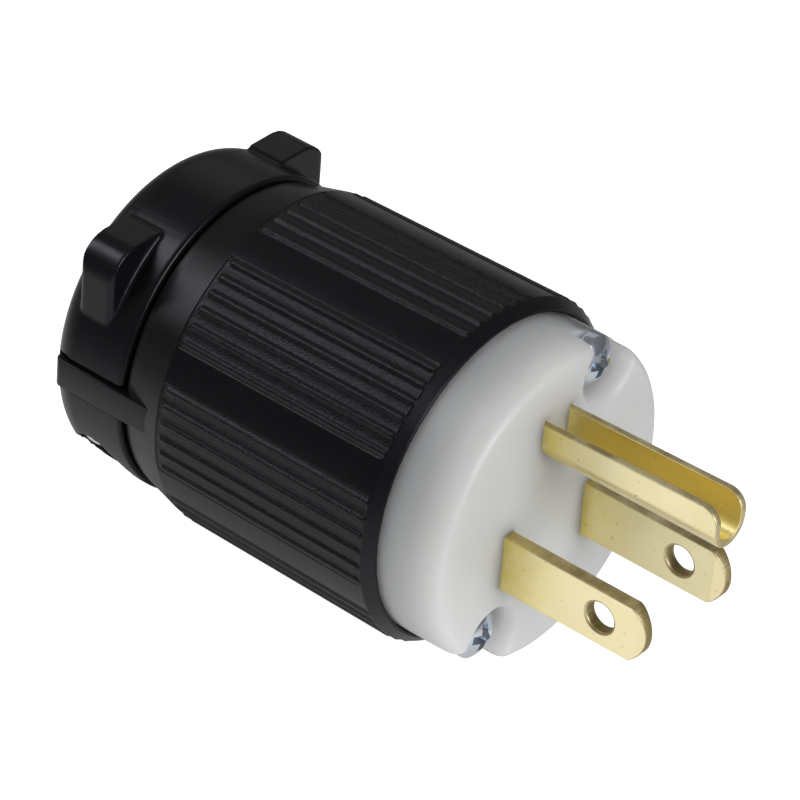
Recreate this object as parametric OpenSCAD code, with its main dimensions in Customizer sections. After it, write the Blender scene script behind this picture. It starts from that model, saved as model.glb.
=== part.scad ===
// Rewirable power plug with two flat blades and a folded earth pin.
// It lies on its side with the earth pin uppermost: blades towards -Y, cord end towards +Y.
// The origin is on the body's axis, in the plane of the white mating face. Sizes are in millimetres.
// A depth is a distance behind the mating face.

/* [Contacts] */
// Distance between the two flat blades, centre to centre
blade_pitch = 12.7; // [12:0.1:14]
// Width of a flat blade
blade_w = 6.35; // [5.5:0.05:7]
// Thickness of a flat blade
blade_t = 1.52; // [1.2:0.02:2]
// How far a flat blade stands out of the face
blade_len = 17.5; // [15:0.1:20]
// How much the radius of a blade's tip exceeds half its width
blade_tip_ease = 0.47; // [0.2:0.01:2]
// Length of the thinned lead-in at a blade's tip
blade_lead = 1.4; // [0.5:0.1:3]
// How much thinner a blade is at its tip
blade_thinning = 0.56; // [0.2:0.02:0.9]
// Diameter of the hole through a blade
blade_hole_d = 3.4; // [3:0.05:4]
// Distance from the face to the centre of a blade's hole
blade_hole_out = 12; // [10:0.1:13]
// Width of the broken edge around a blade's hole
blade_hole_ease = 0.18; // [0.1:0.02:0.3]
// Height of the centre of the earth pin's round back above the blades' centre line
earth_rise = 12.1; // [11.5:0.05:12.6]
// Outside width of the folded earth pin
earth_w = 4.8; // [4.4:0.05:5.2]
// Thickness of the sheet that the earth pin is folded from
earth_t = 0.8; // [0.6:0.05:1]
// Height of the earth pin, from its round back to its open edges
earth_h = 5; // [4.5:0.05:5.6]
// How far the earth pin stands out of the face
earth_len = 20.9; // [18:0.1:23]
// Radius of the rounded corners at the earth pin's tip
earth_corner_r = 1.9; // [1:0.1:2.4]

/* [Face] */
// Diameter of the white face
face_d = 34.84; // [34:0.02:36]
// How far the face stands out of the housing
face_proud = 7.4; // [5:0.1:10]
// Radius of the rounded front edge of the face
face_edge_r = 1.1; // [0.5:0.1:1.3]
// Length of the face's skirt inside the housing
face_spigot = 4; // [2.5:0.1:5]
// Thickness of the front wall of the face
face_wall = 4.2; // [3.8:0.1:4.8]
// Thickness of the skirt of the face
face_skirt = 2; // [1.6:0.1:2.4]
// Height of the body's axis above the blades' centre line
axis_rise = 3.23; // [3:0.01:3.5]

/* [Housing] */
// Distance from the edge of the face to the tops of the ribs at the front of the housing
rim_w = 1.53; // [1.4:0.01:2.4]
// How much smaller the diameter over the ribs is at the rear
grip_taper = 0.66; // [0:0.02:1]
// Length of the grip, from the housing's front edge to the end of the ribbed patches
grip_len = 28.1; // [24:0.1:32]
// Number of ribbed patches around the grip
rib_patches = 8; // [4:1:8]
// Number of ribs in a patch
ribs_per_patch = 6; // [3:1:6]
// Angle between neighbouring ribs in a patch
rib_pitch = 5.8; // [5:0.1:6]
// Turn of the ribbed patches about the plug's axis, away from the line of the earth pin
grip_turn = -1.8; // [-5:0.1:5]
// Height of a rib above the floor of its patch
rib_h = 0.3; // [0.2:0.02:0.5]
// Width of a rib at its foot
rib_foot_w = 1.2; // [0.9:0.05:1.25]
// Angle from the middle of an outermost rib to the edge of its patch
patch_margin = 2; // [2:0.1:3]
// Width of a rib at its top
rib_top_w = 0.4; // [0.3:0.05:0.8]
// Depth of a patch's floor below the smooth panels between the patches
patch_sink = 0.1; // [0.06:0.02:0.18]
// Width of the flat on the housing's front edge
rim_flat = 0.35; // [0.2:0.05:0.6]
// Depth over which the front edge slopes out to the ribs
rim_slope = 1.35; // [0.8:0.05:1.6]
// Length of the shoulder behind the grip
shoulder_len = 3.5; // [2.5:0.1:5]
// How far the neck behind the shoulder lies inside the tops of the ribs at the front
neck_in = 1.35; // [1:0.05:1.6]
// Length of the neck
neck_len = 1.2; // [1:0.1:3]
// Thickness of the housing's side wall
wall = 2; // [1.6:0.1:2.2]
// Thickness of the housing's rear wall
rear_wall = 1.8; // [1.4:0.1:2.4]
// Diameter of the opening in the rear wall
rear_opening_d = 22.2; // [21:0.2:23]
// Length of the rib that the terminal block seats on
ledge_len = 1.6; // [1:0.1:2.5]
// Height of the side arms that hold the cord clamp
arm_h = 3; // [2.6:0.1:4]
// Height of the middle of the side arms above the body's axis
arm_rise = 0.25; // [0:0.05:0.5]
// Thickness of a side arm
arm_t = 2.3; // [2:0.1:2.4]
// How far the arms stand proud of the cord clamp
arm_proud = 0.35; // [0.2:0.05:0.6]
// Length of an arm along the neck and shoulder
arm_root = 4.3; // [3:0.1:5]
// How far an arm reaches behind the housing
arm_reach = 9.5; // [6:0.1:9.8]
// Radius of the rounded corner at the end of an arm
arm_end_r = 0.8; // [0.4:0.1:1.2]

/* [Cord clamp] */
// How far the cord clamp stands out beyond the neck
clamp_over = 0.05; // [0:0.01:0.2]
// Length of the cord clamp behind the groove
clamp_len = 10.4; // [10:0.1:12]
// Radius of the rounded rear edge of the clamp
clamp_edge_r = 3.8; // [3:0.1:4.5]
// Width of the groove between the housing and the clamp
groove_w = 0.85; // [0.5:0.05:1.4]
// Diameter of the cord passage
cord_d = 12.6; // [10:0.2:13.4]
// Radius of the rounded rear mouth of the cord passage
mouth_r = 1.6; // [0.8:0.1:2]
// Gap between the two clamp halves
split_gap = 0.6; // [0.3:0.1:1]
// Thickness of the flange that keeps the clamp in the housing
flange_t = 2; // [1.5:0.1:3]
// How far the flange overlaps the edge of the rear opening
flange_lap = 1.5; // [1:0.1:2]
// How far the ears' tops lie below the top of the clamp
ear_drop = 2.15; // [0.6:0.05:2.6]
// Width of an ear
ear_w = 7.4; // [7:0.1:8]
// Length of an ear along the body
ear_len = 4.5; // [4:0.1:5]
// Distance from the clamp's front face to the ears
ear_setback = 2.95; // [2.6:0.05:3.4]
// Radius of an ear's outer top edge
ear_top_r = 3.5; // [1.5:0.1:3.8]
// Radius of an ear's upright edges and inner top edge
ear_edge_r = 0.8; // [0.4:0.1:1.4]

/* [Screws] */
// Angle of the assembly screws around the axis, from +X towards the earth pin
face_screw_angle = 59; // [55:1:62]
// Distance of the assembly screws from the edge of the face
face_screw_in = 2.62; // [2.5:0.02:2.8]
// Diameter of an assembly screw
face_screw_d = 3; // [2.5:0.1:3.2]
// Diameter of an assembly screw's head
face_head_d = 5.5; // [5:0.1:5.7]
// Depth of the top of an assembly screw's head below the face
face_head_sink = 1.3; // [1:0.1:1.6]
// Length of an assembly screw under its head
face_screw_len = 26; // [20:0.5:28]
// Diameter of a clamp screw
clamp_screw_d = 3; // [2.5:0.1:3.2]
// Diameter of a clamp screw's head
clamp_head_d = 6; // [5:0.1:6.2]
// Distance of a clamp screw from the clamp's side
clamp_screw_in = 5.25; // [5:0.05:5.6]
// Distance from the axis to the seat of a clamp screw's head
clamp_seat = 7.1; // [6.5:0.1:8]
// Length of a clamp screw under its head
clamp_screw_len = 17.5; // [15:0.5:18]
// Diameter of a terminal screw
wire_screw_d = 3.2; // [3:0.1:3.5]
// Diameter of a terminal screw's head
wire_head_d = 6.2; // [5.6:0.1:6.4]
// Length of a terminal screw under its head
wire_screw_len = 6.4; // [6:0.1:7]
// Height of a screw's head
head_h = 2; // [1.6:0.1:2.2]
// Depth of the recess in a screw's head
recess_depth = 1; // [0.6:0.1:1.2]
// Width of the recess's slots
recess_w = 0.9; // [0.6:0.1:1.2]

/* [Terminals] */
// Depth of the terminal screws
terminal_depth = 13.4; // [13:0.1:14]
// Depth of the rear ends of the contacts
tail_depth = 17.4; // [17:0.1:18]
// Depth of the terminal block's rear end
block_depth = 21; // [19.5:0.1:22]
// Space for a wire between a contact and its pressure plate
wire_space = 2; // [1.6:0.1:2.2]
// Thickness of a pressure plate
plate_t = 1; // [0.8:0.1:1.2]
// Width and length of a pressure plate
plate_w = 6.6; // [6.2:0.1:7]
// Height of the lips along a pressure plate's sides
plate_lip = 0.7; // [0.4:0.1:1]
// How much wider a contact is at its shoulder, each side
shoulder_step = 0.9; // [0.6:0.1:1.1]
// Length of a contact's shoulder
contact_shoulder = 1.6; // [1.2:0.1:2]

/* [Fits] */
// Clearance around pieces that slide together
slide_gap = 0.12; // [0.08:0.01:0.2]
// Clearance around pieces that are put together loosely
loose_gap = 0.3; // [0.2:0.05:0.4]
// Clearance of a screw in the hole that it cuts its thread in
thread_gap = 0.05; // [0.02:0.01:0.1]
// Clearance around a screw's head in its pocket, for the driver
pocket_gap = 0.65; // [0.4:0.05:0.8]

/* [Hidden] */
$fn = 96;
// How far a cut runs past the surface that it opens
past = 1;
// How far a rib's foot is let into the body
rib_root = 0.4;
// Length of the slope at a rib's rear end, as a share of its height
rib_end_share = 2;
// Closed length of a boss beyond its screw hole
boss_end = 1.5;
// Size of the eased edges on both sides of the groove
lip_r = 0.4;
// Radius of a screw head's dome as a share of the head's radius
dome_share = 1.4;
// Length of a recess's slots as a share of the head's diameter
recess_share = 0.58;

face_r = face_d / 2;
face_depth = face_proud + face_spigot;
skirt_r = face_r - face_skirt;
blade_y = -axis_rise;
blade_tip_r = blade_w / 2 + blade_tip_ease;
earth_y = earth_rise - axis_rise;
earth_back = earth_y - earth_w / 2;
earth_edge = earth_back + earth_h;
tab_w = earth_w + 2 * shoulder_step;

rim_r = face_r + slide_gap;
rim_edge_r = rim_r + rim_flat;
rib_front_r = face_r + rim_w;
rib_rear_r = rib_front_r - grip_taper / 2;
floor_front_r = rib_front_r - rib_h;
floor_rear_r = rib_rear_r - rib_h;
panel_front_r = floor_front_r + patch_sink;
panel_rear_r = floor_rear_r + patch_sink;
grip_end = face_proud + grip_len;
neck_r = rib_front_r - neck_in;
neck_depth = grip_end + shoulder_len;
housing_end = neck_depth + neck_len;
rear_wall_depth = housing_end - rear_wall;
rear_opening_r = rear_opening_d / 2;
patch_pitch = 360 / rib_patches;
patch_half = rib_pitch * (ribs_per_patch - 1) / 2 + patch_margin;

block_front_r = skirt_r - slide_gap;
block_rear_r = block_front_r - face_skirt / 2;
ledge_r = block_rear_r + loose_gap;
boss_r = face_screw_d;
boss_depth = face_head_sink + head_h + face_screw_len + loose_gap;
face_screw_r = face_r - face_screw_in;
notch_r = face_head_d / 2 + pocket_gap;
face_seat = face_head_sink + head_h;

clamp_r = neck_r + clamp_over;
clamp_front = housing_end + groove_w;
clamp_end = clamp_front + clamp_len;
cord_r = cord_d / 2;
clamp_neck_r = rear_opening_r - loose_gap;
flange_r = rear_opening_r + flange_lap;
flange_rear = rear_wall_depth - loose_gap;
flange_front = flange_rear - flange_t;
arm_out = clamp_r + arm_proud;
arm_in = arm_out - arm_t;
arm_front = housing_end - arm_root;
arm_end = housing_end + arm_reach;
ear_front = clamp_front + ear_setback;
ear_top = clamp_r - ear_drop;
clamp_screw_depth = ear_front + ear_len / 2;
clamp_screw_x = clamp_r - clamp_screw_in;
ear_in = clamp_screw_x - ear_w / 2;
ear_out = clamp_screw_x + ear_w / 2;

black_plastic = "#1d1d1f";
white_plastic = "#ecebe6";
grey_plastic = "#5b5d60";
brass_sheet = "#d8bf6a";
zinc_steel = "#b9bec4";
nickel_steel = "#c9c9c4";
brass_steel = "#caa64a";
green_steel = "#2f7d46";

// Helpers

// Turns a piece from its working frame, face up, to lying on its side
module laid() {
    rotate([90, 0, 0]) children();
}

// A profile of [radius, depth] points turned about the axis
module turned(points) {
    rotate_extrude() polygon([for (p = points) [p[0], -p[1]]]);
}

// A round bar along the axis between two depths
module bar(r, from, to) {
    translate([0, 0, -to]) cylinder(r = r, h = to - from);
}

// A block between two depths, centred on the axis across its width and height
module slab(w, h, from, to) {
    translate([-w / 2, -h / 2, -to]) cube([w, h, to - from]);
}

// An outline drawn in height and distance out of the face, given a width across the body
module across(w) {
    rotate([90, 0, 90]) linear_extrude(w, center = true) children();
}

// An outline drawn in width and distance out of the face, given a height
module upright(h) {
    rotate([90, 0, 0]) linear_extrude(h, center = true) children();
}

// What a round corner of radius r takes away from a square corner at the origin
module corner_cut(r) {
    difference() {
        translate([-past, -past]) square(r + past);
        translate([r, r]) circle(r);
    }
}

// A rectangle between two points, its corners rounded in turn from the low left one, anticlockwise
module rounded(low, high, radii) {
    difference() {
        translate(low) square(high - low);
        if (radii[0] > 0) translate(low) corner_cut(radii[0]);
        if (radii[1] > 0) translate([high[0], low[1]]) mirror([1, 0]) corner_cut(radii[1]);
        if (radii[2] > 0) translate(high) rotate(180) corner_cut(radii[2]);
        if (radii[3] > 0) translate([low[0], high[1]]) mirror([0, 1]) corner_cut(radii[3]);
    }
}

// Places a piece at each of the two assembly screws
module at_face_screws() {
    for (a = [face_screw_angle, face_screw_angle + 180])
        rotate(a) translate([face_screw_r, 0, 0]) children();
}

// Places a piece at each clamp screw, with its Z axis pointing up
module at_clamp_screws() {
    for (side = [-1, 1])
        translate([side * clamp_screw_x, 0, -clamp_screw_depth]) rotate([-90, 0, 0]) children();
}

// Places a piece on the outer surface of a blade at its terminal, with its Z axis pointing outwards
module at_blade_terminal(side) {
    translate([side * (blade_pitch + blade_t) / 2, blade_y, -terminal_depth])
        rotate([0, side * 90, 0]) children();
}

// Places a piece on the earth pin's tab in the same way
module at_earth_terminal() {
    translate([0, earth_back + earth_t, -terminal_depth]) rotate([-90, 0, 0]) rotate(90) children();
}

// A screw with a domed head and a cross recess, its head's underside at the origin, pointing to -Z
module screw(d, head_d, length) {
    head_r = head_d / 2;
    dome_r = head_r * dome_share;
    slot_l = head_d * recess_share;
    difference() {
        union() {
            rotate_extrude() intersection() {
                square([head_r, head_h]);
                translate([0, head_h - dome_r]) circle(dome_r);
            }
            translate([0, 0, -length]) cylinder(d = d, h = length + head_h / 2);
        }
        for (a = [0, 90])
            rotate(a) translate([-slot_l / 2, -recess_w / 2, head_h - recess_depth])
                cube([slot_l, recess_w, recess_depth + past]);
    }
}

// A pressure plate with a lip along each side, above a contact's surface at the origin
module plate() {
    difference() {
        union() {
            translate([-plate_w / 2, -plate_w / 2, wire_space]) cube([plate_w, plate_w, plate_t]);
            for (side = [0, 1])
                mirror([0, side, 0])
                    translate([-plate_w / 2, plate_w / 2 - plate_t, wire_space - plate_lip])
                        cube([plate_w, plate_t, plate_lip + plate_t]);
        }
        cylinder(r = wire_screw_d / 2 + slide_gap, h = wire_space + plate_t + past);
    }
}

// Housing

// Depth at which the sloping front edge of the housing reaches a radius
function rim_depth(r) = face_proud + rim_slope * (r - rim_edge_r) / (rib_front_r - rim_edge_r);

// Profile of the grip at one level, from the front edge to a depth
function grip_profile(front_r, rear_r, end) = [
    [0, face_proud],
    [rim_edge_r, face_proud],
    [front_r, rim_depth(front_r)],
    [rear_r, end],
    [0, end]
];

// The turned body at the level of the patches' floors, with the shoulder and neck behind it
module grip_core() {
    turned(concat(
        [[0, face_proud], [rim_edge_r, face_proud]],
        [[floor_front_r, rim_depth(floor_front_r)], [floor_rear_r, grip_end]],
        [[panel_rear_r, grip_end], [neck_r, neck_depth]],
        [[neck_r, housing_end - lip_r], [neck_r - lip_r, housing_end], [0, housing_end]]
    ));
}

// The smooth panels between the ribbed patches, and the band in front of the patches
module panels() {
    half = patch_pitch / 2 - patch_half;
    reach = 2 * rib_front_r;
    intersection() {
        turned(grip_profile(panel_front_r, panel_rear_r, grip_end));
        union() {
            bar(reach, 0, face_proud + rim_slope);
            for (i = [0 : rib_patches - 1])
                rotate(90 + patch_pitch * (i + 0.5)) translate([0, 0, -grip_end])
                    linear_extrude(grip_end) polygon([
                        [0, 0],
                        reach * [cos(half), -sin(half)],
                        reach * [cos(half), sin(half)]
                    ]);
        }
    }
}

// One rib along +X, leaning in by the taper of the grip
module rib() {
    lean = atan(grip_taper / 2 / grip_len);
    translate([rib_front_r, 0, -face_proud]) rotate([0, lean, 0]) translate([0, 0, -grip_len])
        linear_extrude(grip_len) polygon([
            [-rib_h - rib_root, -rib_foot_w / 2],
            [-rib_h, -rib_foot_w / 2],
            [0, -rib_top_w / 2],
            [0, rib_top_w / 2],
            [-rib_h, rib_foot_w / 2],
            [-rib_h - rib_root, rib_foot_w / 2]
        ]);
}

// All the ribs, sloped at both ends
module ribs() {
    over_r = rib_front_r + rib_h;
    end = grip_end - rib_h;
    intersection() {
        turned([
            [0, face_proud],
            [rim_edge_r, face_proud],
            [over_r, rim_depth(over_r)],
            [rib_rear_r + rib_h, end - rib_end_share * rib_h],
            [floor_rear_r, end],
            [0, end]
        ]);
        for (i = [0 : rib_patches - 1], j = [0 : ribs_per_patch - 1])
            rotate(90 + patch_pitch * i + rib_pitch * (j - (ribs_per_patch - 1) / 2)) rib();
    }
}

// The two arms that reach back beside the cord clamp
module arms() {
    for (side = [0, 1])
        mirror([side, 0, 0]) translate([0, arm_rise, 0]) upright(arm_h)
            rounded([arm_in, -arm_end], [arm_out, -arm_front], [0, arm_end_r, arm_end_r, 0]);
}

// The hollow inside the housing, behind the seat of the face
module housing_hollow() {
    ledge_end = face_depth + ledge_len;
    turned([
        [0, face_depth - past], [ledge_r, face_depth - past], [ledge_r, ledge_end],
        [floor_front_r - wall, ledge_end], [neck_r - wall, rear_wall_depth],
        [0, rear_wall_depth]
    ]);
}

module housing() {
    color(black_plastic) laid() difference() {
        union() {
            difference() {
                union() {
                    rotate(grip_turn) {
                        grip_core();
                        panels();
                        ribs();
                    }
                    arms();
                }
                housing_hollow();
                bar(rear_opening_r, rear_wall_depth - past, housing_end + past);
            }
            at_face_screws() bar(boss_r, face_depth - past, boss_depth + boss_end);
        }
        bar(rim_r, face_proud - past, face_depth);
        at_face_screws() bar(face_screw_d / 2 + thread_gap, face_depth - past, boss_depth);
    }
}

// Face and terminal block

// Section of the folded earth pin, with a clearance all round
module earth_section(gap) {
    outer_r = earth_w / 2 + gap;
    inner_r = earth_w / 2 - earth_t - gap;
    difference() {
        union() {
            translate([0, earth_y]) circle(outer_r);
            translate([-outer_r, earth_y]) square([2 * outer_r, earth_edge - earth_y + gap]);
        }
        translate([0, earth_y]) circle(inner_r);
        translate([-inner_r, earth_y]) square([2 * inner_r, earth_h + past]);
    }
}

module face() {
    color(white_plastic) laid() difference() {
        union() {
            rotate_extrude() difference() {
                rounded([0, -face_depth - past], [face_r, 0], [0, 0, face_edge_r, 0]);
                translate([-past, -face_depth - 2 * past])
                    square([skirt_r + past, face_depth - face_wall + 2 * past]);
            }
            intersection() {
                at_face_screws() bar(boss_r, face_wall - past, face_depth + past);
                bar(face_r - face_skirt / 2, 0, face_depth + 2 * past);
            }
        }
        bar(face_d, face_depth, face_depth + 3 * past);
        at_face_screws() {
            bar(notch_r, -past, face_seat);
            bar(face_screw_d / 2 + slide_gap, 0, face_depth + past);
        }
        for (side = [-1, 1])
            translate([side * blade_pitch / 2, blade_y, 0])
                slab(blade_t + 2 * slide_gap, blade_w + 2 * slide_gap, -past, face_depth);
        translate([0, 0, -face_depth]) linear_extrude(face_depth + past) earth_section(slide_gap);
    }
}

// The hollow of a blade's terminal: slot, shoulder pocket, well and room for the screw's end
module blade_well(side) {
    slot_t = blade_t + 2 * slide_gap;
    slot_w = blade_w + 2 * slide_gap;
    pocket_end = face_wall + contact_shoulder + slide_gap;
    tip = wire_screw_len - wire_space - plate_t + loose_gap;
    translate([side * blade_pitch / 2, blade_y, 0]) {
        slab(slot_t, slot_w, face_wall - past, block_depth + past);
        slab(slot_t, slot_w + 2 * shoulder_step, face_wall - past, pocket_end);
    }
    at_blade_terminal(side) {
        translate([-plate_w / 2 - loose_gap, -plate_w / 2 - loose_gap, -blade_t / 2])
            cube([block_depth, plate_w + 2 * loose_gap, block_front_r]);
        translate([0, 0, -tip]) cylinder(r = wire_screw_d / 2 + loose_gap, h = tip);
    }
}

// The hollow of the earth terminal
module earth_well() {
    slot_w = tab_w + 2 * slide_gap;
    slot_t = earth_t + 2 * slide_gap;
    pocket_end = face_wall + contact_shoulder + slide_gap;
    tip = wire_screw_len - wire_space - plate_t + loose_gap;
    translate([0, earth_back + earth_t / 2, 0])
        slab(slot_w, slot_t, face_wall - past, block_depth + past);
    translate([0, (earth_back + earth_edge) / 2, 0])
        slab(slot_w, earth_h + 2 * slide_gap, face_wall - past, pocket_end);
    at_earth_terminal() {
        translate([-plate_w / 2 - loose_gap, -plate_w / 2 - loose_gap, -earth_t / 2])
            cube([block_depth, plate_w + 2 * loose_gap, block_front_r]);
        translate([0, 0, -tip]) cylinder(r = wire_screw_d / 2 + loose_gap, h = tip);
    }
}

module terminal_block() {
    color(grey_plastic) laid() difference() {
        union() {
            bar(block_front_r, face_wall, face_depth);
            bar(block_rear_r, face_depth - past, block_depth);
        }
        at_face_screws() bar(boss_r + loose_gap, face_wall - past, block_depth + past);
        for (side = [-1, 1]) blade_well(side);
        earth_well();
    }
}

// Contacts

// The hole through a blade with both its edges broken, its middle at the origin
module eased_hole() {
    hole_r = blade_hole_d / 2;
    edge_r = hole_r + blade_hole_ease;
    half_t = blade_t / 2;
    rotate_extrude() polygon([
        [0, -half_t - past], [edge_r, -half_t - past], [edge_r, -half_t],
        [hole_r, blade_hole_ease - half_t], [hole_r, half_t - blade_hole_ease],
        [edge_r, half_t], [edge_r, half_t + past], [0, half_t + past]
    ]);
}

// A blade with its rounded tip, its shoulder inside the plug and its tapped tail
module blade(side) {
    tip_start = blade_len - blade_tip_r;
    tip_t = blade_t - blade_thinning;
    at_blade_terminal(side) difference() {
        translate([0, 0, -blade_t / 2]) rotate([0, -side * 90, 0]) translate([0, 0, terminal_depth])
        intersection() {
            across(blade_t) {
                translate([-blade_w / 2, -tail_depth]) square([blade_w, tail_depth + tip_start]);
                translate([-blade_w / 2 - shoulder_step, -face_wall - contact_shoulder])
                    square([blade_w + 2 * shoulder_step, contact_shoulder]);
                intersection() {
                    translate([0, tip_start]) circle(blade_tip_r);
                    translate([-blade_w / 2, tip_start]) square([blade_w, blade_tip_r]);
                }
            }
            upright(blade_w + 2 * shoulder_step) polygon([
                [-blade_t / 2, -tail_depth],
                [blade_t / 2, -tail_depth],
                [blade_t / 2, blade_len - blade_lead],
                [tip_t / 2, blade_len],
                [-tip_t / 2, blade_len],
                [-blade_t / 2, blade_len - blade_lead]
            ]);
        }
        translate([0, 0, -blade_t - past])
            cylinder(r = wire_screw_d / 2 + thread_gap, h = blade_t + 2 * past);
        translate([-side * (terminal_depth + blade_hole_out), 0, -blade_t / 2]) eased_hole();
    }
}

module line_blade() {
    color(brass_sheet) laid() blade(1);
}

module neutral_blade() {
    color(brass_sheet) laid() blade(-1);
}

module earth_pin() {
    leg_end = face_wall + contact_shoulder;
    color(brass_sheet) laid() difference() {
        union() {
            intersection() {
                translate([0, 0, -leg_end]) linear_extrude(leg_end + earth_len) earth_section(0);
                across(earth_w)
                    rounded([earth_back, -leg_end], [earth_edge, earth_len], [0, 0, earth_corner_r, 0]);
            }
            translate([0, earth_back + earth_t / 2, 0]) slab(tab_w, earth_t, face_wall, tail_depth);
        }
        at_earth_terminal() translate([0, 0, -earth_t - past])
            cylinder(r = wire_screw_d / 2 + thread_gap, h = earth_t + 2 * past);
    }
}

// Pressure plates and terminal screws

module line_plate() {
    color(zinc_steel) laid() at_blade_terminal(1) plate();
}

module neutral_plate() {
    color(zinc_steel) laid() at_blade_terminal(-1) plate();
}

module earth_plate() {
    color(zinc_steel) laid() at_earth_terminal() plate();
}

// A terminal screw on top of its pressure plate
module wire_screw() {
    translate([0, 0, wire_space + plate_t]) screw(wire_screw_d, wire_head_d, wire_screw_len);
}

module line_screw() {
    color(brass_steel) laid() at_blade_terminal(1) wire_screw();
}

module neutral_screw() {
    color(nickel_steel) laid() at_blade_terminal(-1) wire_screw();
}

module earth_screw() {
    color(green_steel) laid() at_earth_terminal() wire_screw();
}

module face_screws() {
    color(zinc_steel) laid() at_face_screws()
        translate([0, 0, -face_seat]) screw(face_screw_d, face_head_d, face_screw_len);
}

// Cord clamp

// The whole clamp turned about the axis, before it is split
module clamp_ring() {
    rotate_extrude() difference() {
        polygon([
            [cord_r, -flange_front], [flange_r, -flange_front],
            [flange_r, -flange_rear], [clamp_neck_r, -flange_rear],
            [clamp_neck_r, -clamp_front], [clamp_r, -clamp_front],
            [clamp_r, -clamp_end], [cord_r, -clamp_end]
        ]);
        translate([cord_r, -flange_front]) mirror([0, 1]) corner_cut(mouth_r / 2);
        translate([cord_r, -clamp_end]) corner_cut(mouth_r);
        translate([clamp_r, -clamp_end]) mirror([1, 0]) corner_cut(clamp_edge_r);
        translate([clamp_r, -clamp_front]) rotate(180) corner_cut(lip_r);
    }
}

// The half of the clamp above the split
module half_ring() {
    intersection() {
        clamp_ring();
        translate([-clamp_r - past, split_gap / 2, -clamp_end - past])
            cube([2 * (clamp_r + past), clamp_r + past, clamp_end]);
    }
}

// Room for the side arms
module arm_slots() {
    for (side = [0, 1])
        mirror([side, 0, 0])
            translate([arm_in - loose_gap, arm_rise - arm_h / 2 - loose_gap, -arm_end - loose_gap])
                cube([clamp_r, arm_h + 2 * loose_gap, arm_end - housing_end + 2 * loose_gap]);
}

// The ears that the clamp screws cut their threads in
module ears() {
    for (side = [0, 1])
        mirror([side, 0, 0]) intersection() {
            translate([0, 0, -ear_front - ear_len]) linear_extrude(ear_len)
                rounded([ear_in, arm_h], [ear_out, ear_top], [0, 0, ear_top_r, ear_edge_r]);
            translate([0, ear_top / 2, 0]) upright(ear_top)
                rounded([ear_in, -ear_front - ear_len], [ear_out, -ear_front],
                        [ear_edge_r, ear_edge_r, ear_edge_r, ear_edge_r]);
        }
}

module upper_clamp() {
    color(black_plastic) laid() difference() {
        union() {
            half_ring();
            ears();
        }
        arm_slots();
        at_clamp_screws()
            cylinder(r = clamp_screw_d / 2 + thread_gap, h = clamp_screw_len - clamp_seat + loose_gap);
    }
}

module lower_clamp() {
    color(black_plastic) laid() difference() {
        mirror([0, 1, 0]) half_ring();
        arm_slots();
        at_clamp_screws() {
            translate([0, 0, -clamp_r]) cylinder(r = clamp_screw_d / 2 + loose_gap, h = clamp_r);
            translate([0, 0, -clamp_r - past])
                cylinder(r = clamp_head_d / 2 + pocket_gap, h = clamp_r + past - clamp_seat);
        }
    }
}

module clamp_screws() {
    color(zinc_steel) laid() at_clamp_screws()
        translate([0, 0, -clamp_seat]) rotate([180, 0, 0])
            screw(clamp_screw_d, clamp_head_d, clamp_screw_len);
}

housing();
face();
terminal_block();
line_blade();
neutral_blade();
earth_pin();
line_plate();
neutral_plate();
earth_plate();
line_screw();
neutral_screw();
earth_screw();
face_screws();
upper_clamp();
lower_clamp();
clamp_screws();
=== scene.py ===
# %% [markdown]
# # A rewirable power plug
# This lesson dresses the CAD solids of a power plug so that they look like the real thing. The plug lies on
# its side: the brass contacts point to -Y, the cord end to +Y, and the earth pin is uppermost. The solids are
# loaded first and are never moved. Each piece is then made in the same frame, in metres, so a piece that
# stands for a solid needs no fitting: it is made where the solid already is.

# %% Load the solids
import math

import bmesh
import bpy
import numpy as np
from mathutils import Matrix, Vector


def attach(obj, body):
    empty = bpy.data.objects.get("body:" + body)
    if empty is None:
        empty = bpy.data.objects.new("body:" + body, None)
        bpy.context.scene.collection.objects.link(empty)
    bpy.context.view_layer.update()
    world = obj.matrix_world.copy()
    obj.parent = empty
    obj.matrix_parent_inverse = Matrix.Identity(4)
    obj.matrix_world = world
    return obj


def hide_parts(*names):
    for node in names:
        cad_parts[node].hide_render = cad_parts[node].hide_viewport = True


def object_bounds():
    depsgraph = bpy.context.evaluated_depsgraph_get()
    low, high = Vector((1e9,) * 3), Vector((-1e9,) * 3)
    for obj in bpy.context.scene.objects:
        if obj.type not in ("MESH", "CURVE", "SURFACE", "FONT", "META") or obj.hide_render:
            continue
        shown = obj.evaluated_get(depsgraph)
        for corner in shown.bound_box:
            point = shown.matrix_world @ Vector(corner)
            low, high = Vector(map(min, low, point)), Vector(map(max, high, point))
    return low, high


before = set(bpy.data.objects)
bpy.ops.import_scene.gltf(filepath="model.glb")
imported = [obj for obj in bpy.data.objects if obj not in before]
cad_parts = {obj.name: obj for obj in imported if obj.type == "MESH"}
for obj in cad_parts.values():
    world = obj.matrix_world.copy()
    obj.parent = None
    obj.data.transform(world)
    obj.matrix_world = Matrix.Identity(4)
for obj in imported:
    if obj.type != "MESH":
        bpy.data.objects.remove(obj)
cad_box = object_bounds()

MM = 0.001
scene = bpy.context.scene
print("solids:", ", ".join(sorted(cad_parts)))

# %% [markdown]
# ## The camera
# The photograph was taken from far off with a long lens, so parallel edges stay almost parallel. The place
# and the turn of the camera were fitted to points whose true positions are known: the corners of the contacts
# and the rim of the face. A Track To constraint could aim it too, but plain angles keep the slight roll.

# %% Camera
CAMERA_PLACE = (-0.32339, -0.22541, 0.29102)
CAMERA_TURN = (54.523, -3.879, -50.098)
LENS_LENGTH = 225.04


def add_object(name, data):
    """A new object in the scene."""
    made = bpy.data.objects.new(name, data)
    scene.collection.objects.link(made)
    return made


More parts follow.
